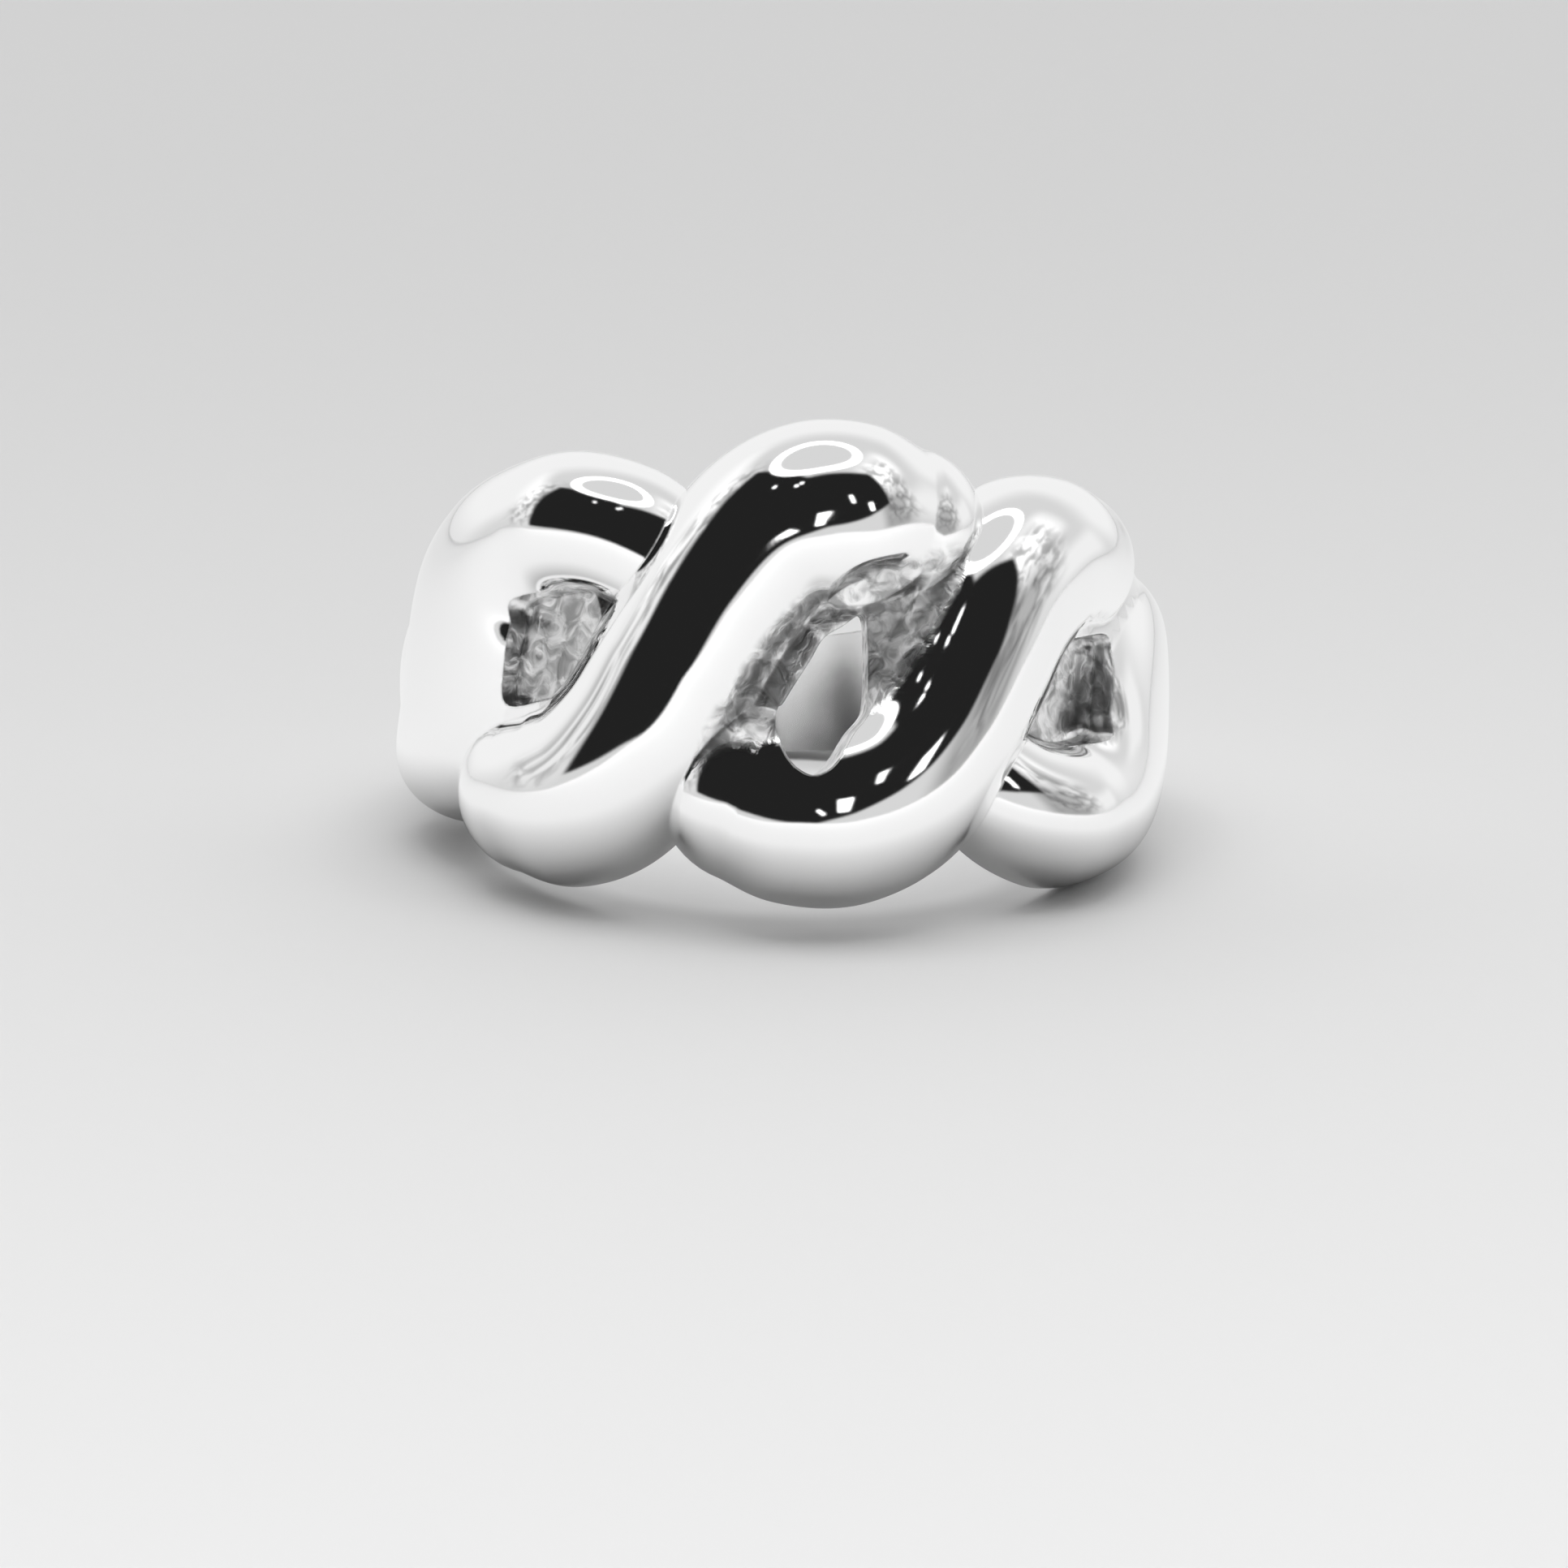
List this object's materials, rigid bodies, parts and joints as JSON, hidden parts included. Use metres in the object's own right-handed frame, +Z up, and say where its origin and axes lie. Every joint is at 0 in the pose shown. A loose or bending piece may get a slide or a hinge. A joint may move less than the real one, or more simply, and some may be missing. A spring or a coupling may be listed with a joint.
{
  "type": "finger ring",
  "caption": "Wide silver ring whose front is a chain of S-shaped links over a smooth band that narrows to a plain back.",
  "frame": {"origin": "centre of the bounding box's foot: the ring lies on its flat side, leaning back", "axes": "-Y towards the chain front, +Y towards the plain back, +X to the right seen from the front, +Z up"},
  "size_m": [0.0234, 0.0224, 0.0144],
  "materials": {
    "silver": "polished"
  },
  "bodies": {
    "root": {"chain_link_band": "silver"}
  },
  "joints": []
}
